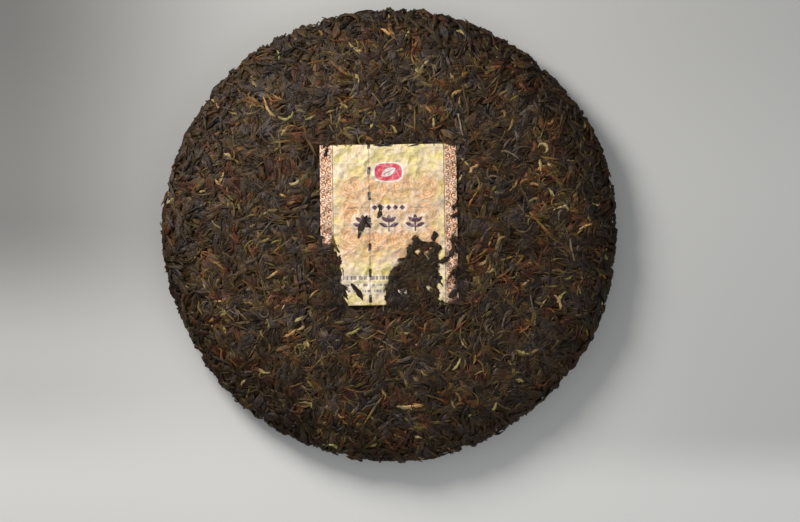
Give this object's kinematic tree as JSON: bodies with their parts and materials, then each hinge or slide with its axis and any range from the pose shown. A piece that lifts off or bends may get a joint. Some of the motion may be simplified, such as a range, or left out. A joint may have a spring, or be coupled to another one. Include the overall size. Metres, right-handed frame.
{
  "type": "pu-erh tea cake",
  "caption": "Round pressed cake of twisted dark tea leaves with golden tips, domed front, dimpled back and a small printed paper ticket pressed into the front.",
  "frame": {"origin": "middle of the outline, on the level of the flat ring of the back that the cake rests on", "axes": "+Z out of the domed front, -Z out of the dimpled back; +Y towards the top edge of the ticket, +X towards its right edge"},
  "size_m": [0.2002, 0.202, 0.0266],
  "materials": {
    "tea_leaves": "dry twisted leaf, dull with a faint sheen, near black to brown with golden tips",
    "ticket_paper": "thin crinkled paper, matt, cream with a printed border and a small red emblem"
  },
  "bodies": {
    "root": {"pressed_tea": "tea_leaves", "paper_ticket": "ticket_paper"}
  },
  "joints": []
}
